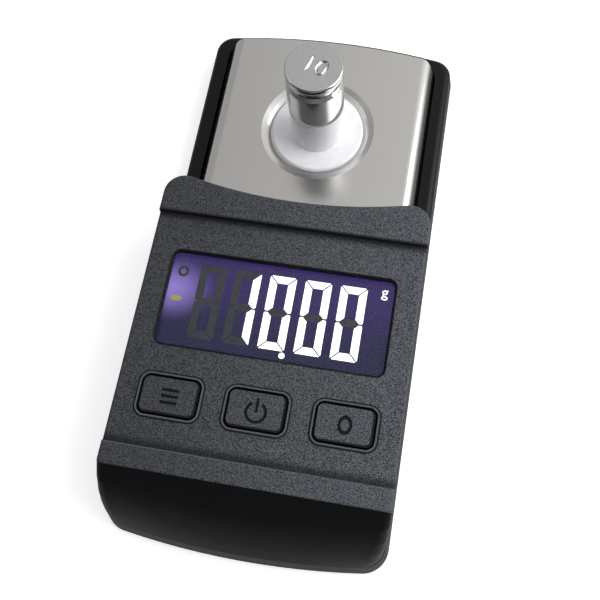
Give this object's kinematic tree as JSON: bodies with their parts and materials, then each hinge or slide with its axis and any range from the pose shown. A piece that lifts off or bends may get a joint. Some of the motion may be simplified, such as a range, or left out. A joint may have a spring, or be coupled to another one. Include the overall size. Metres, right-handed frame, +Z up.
{
  "type": "stylus force gauge",
  "caption": "Pocket gauge for a record player's stylus force: moulded housing with display and keys, and a steel tray carrying a pedestal and a check weight.",
  "frame": {"origin": "middle of the footprint, on the surface that the gauge stands on", "axes": "+X to the right seen from the keys, +Y from the rounded front to the tray, +Z up"},
  "size_m": [0.054, 0.1142, 0.0314],
  "materials": {
    "housing_plastic": "fine spark-eroded grain",
    "window_acrylic": "clear polished",
    "display_glass": "polished, tinted blue-violet",
    "light_guide": "clear with white back",
    "contact_rubber": "matt",
    "frame_plastic": "satin",
    "board_laminate": "satin",
    "chip_resin": "matt",
    "screw_steel": "zinc plated",
    "foot_rubber": "matt",
    "cell_sleeve": "satin",
    "contact_steel": "nickel plated",
    "beam_aluminium": "machined",
    "gauge_film": "satin",
    "lead_insulation": "satin",
    "plate_aluminium": "stamped, satin",
    "pad_foam": "matt",
    "tray_steel": "bright satin",
    "pedestal_plastic": "moulded, semi-gloss",
    "weight_chrome": "polished",
    "key_plastic": "fine grain",
    "switch_plastic": "matt"
  },
  "bodies": {
    "housing": {"base_housing": "housing_plastic", "top_cover": "housing_plastic", "display_window": "window_acrylic", "lcd_panel": "display_glass", "lcd_backlight": "light_guide", "lcd_contact_strip": "contact_rubber", "lcd_frame": "frame_plastic", "circuit_board": "board_laminate", "board_chips": "chip_resin", "board_screws": "screw_steel", "housing_screws": "screw_steel", "rubber_feet": "foot_rubber", "battery_cells": "cell_sleeve", "link_contact": "contact_steel", "end_contacts": "contact_steel", "load_cell": "beam_aluminium", "load_cell_screws": "screw_steel", "strain_gauges": "gauge_film", "gauge_leads": "lead_insulation", "mode_switch": "switch_plastic", "power_switch": "switch_plastic", "tare_switch": "switch_plastic"},
    "platform": {"weighing_tray": "tray_steel", "tray_support": "plate_aluminium", "tray_pads": "pad_foam", "support_screws": "screw_steel", "stylus_pedestal": "pedestal_plastic"},
    "weight": {"calibration_weight": "weight_chrome"},
    "door": {"battery_door": "housing_plastic"},
    "mode_button": {"mode_key": "key_plastic", "mode_plunger": "switch_plastic"},
    "power_button": {"power_key": "key_plastic", "power_plunger": "switch_plastic"},
    "tare_button": {"tare_key": "key_plastic", "tare_plunger": "switch_plastic"}
  },
  "joints": [
    {"name": "platform_press", "type": "slide", "parent": "housing", "child": "platform", "axis": [0, 0, -1], "range_m": [0, 0.0003], "stiffness_N_per_m": 3300, "springref_m": -0.0001, "deforming": ["load_cell"]},
    {"name": "weight_lift", "type": "slide", "parent": "platform", "child": "weight", "axis": [0, 0, 1], "range_m": [0, 0.045]},
    {"name": "door_tilt", "type": "hinge", "parent": "housing", "child": "door", "pos_m": [0, -0.05045, 0.0008], "axis": [-1, 0, 0], "range_deg": [0, 60]},
    {"name": "mode_press", "type": "slide", "parent": "housing", "child": "mode_button", "axis": [0, 0, -1], "range_m": [0, 0.0003], "stiffness_N_per_m": 4000},
    {"name": "power_press", "type": "slide", "parent": "housing", "child": "power_button", "axis": [0, 0, -1], "range_m": [0, 0.0003], "stiffness_N_per_m": 4000},
    {"name": "tare_press", "type": "slide", "parent": "housing", "child": "tare_button", "axis": [0, 0, -1], "range_m": [0, 0.0003], "stiffness_N_per_m": 4000}
  ]
}
